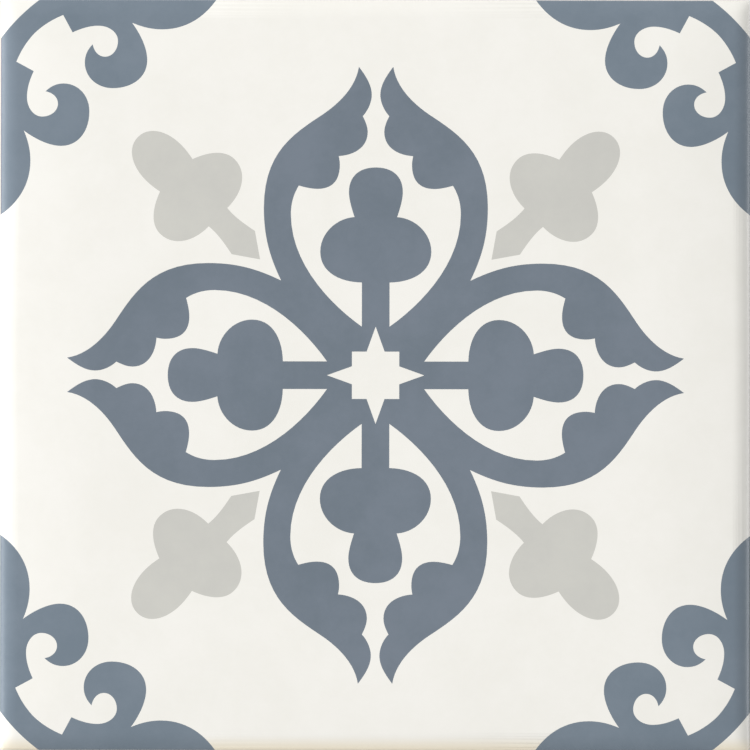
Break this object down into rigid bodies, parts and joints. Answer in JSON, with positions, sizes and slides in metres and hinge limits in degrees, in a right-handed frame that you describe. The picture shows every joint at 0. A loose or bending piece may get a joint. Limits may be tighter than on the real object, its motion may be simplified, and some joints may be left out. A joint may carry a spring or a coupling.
{
  "type": "ceramic tile",
  "caption": "Square glazed ceramic tile with a cushion edge and a keyed back, decorated with a traditional flower ornament, for facing walls and floors.",
  "frame": {"origin": "middle of the back of the tile, on the plane of its rim and ribs", "axes": "+Z out of the glazed face, +X and +Y along the sides"},
  "size_m": [0.2, 0.2, 0.008],
  "materials": {
    "glazed_tile": "satin cream glaze with a blue-grey and pale grey print, bare biscuit on the back"
  },
  "bodies": {
    "root": {"tile": "glazed_tile"}
  },
  "joints": []
}
